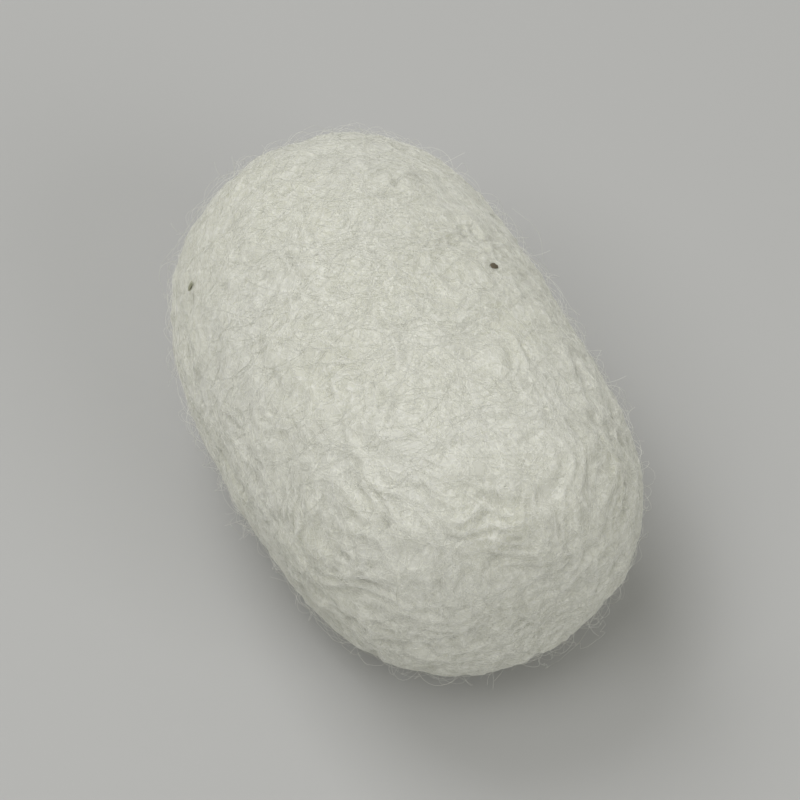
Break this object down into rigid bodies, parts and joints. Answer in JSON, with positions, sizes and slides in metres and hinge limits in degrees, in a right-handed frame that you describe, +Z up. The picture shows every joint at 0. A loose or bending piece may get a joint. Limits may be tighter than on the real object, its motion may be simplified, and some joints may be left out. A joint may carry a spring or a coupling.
{
  "type": "silk cocoon",
  "caption": "Whole oval silk cocoon with blunt rounded ends, a finely puckered felted surface and a small flat resting spot.",
  "frame": {"origin": "under the middle of the cocoon, on the plane of its flat resting spot", "axes": "+X along the cocoon towards its slightly stouter end, +Y across it, +Z up as it rests"},
  "size_m": [0.037, 0.0244, 0.0226],
  "materials": {
    "silk": "matte, felted, with a faint silky sheen"
  },
  "bodies": {
    "root": {"cocoon": "silk"}
  },
  "joints": []
}
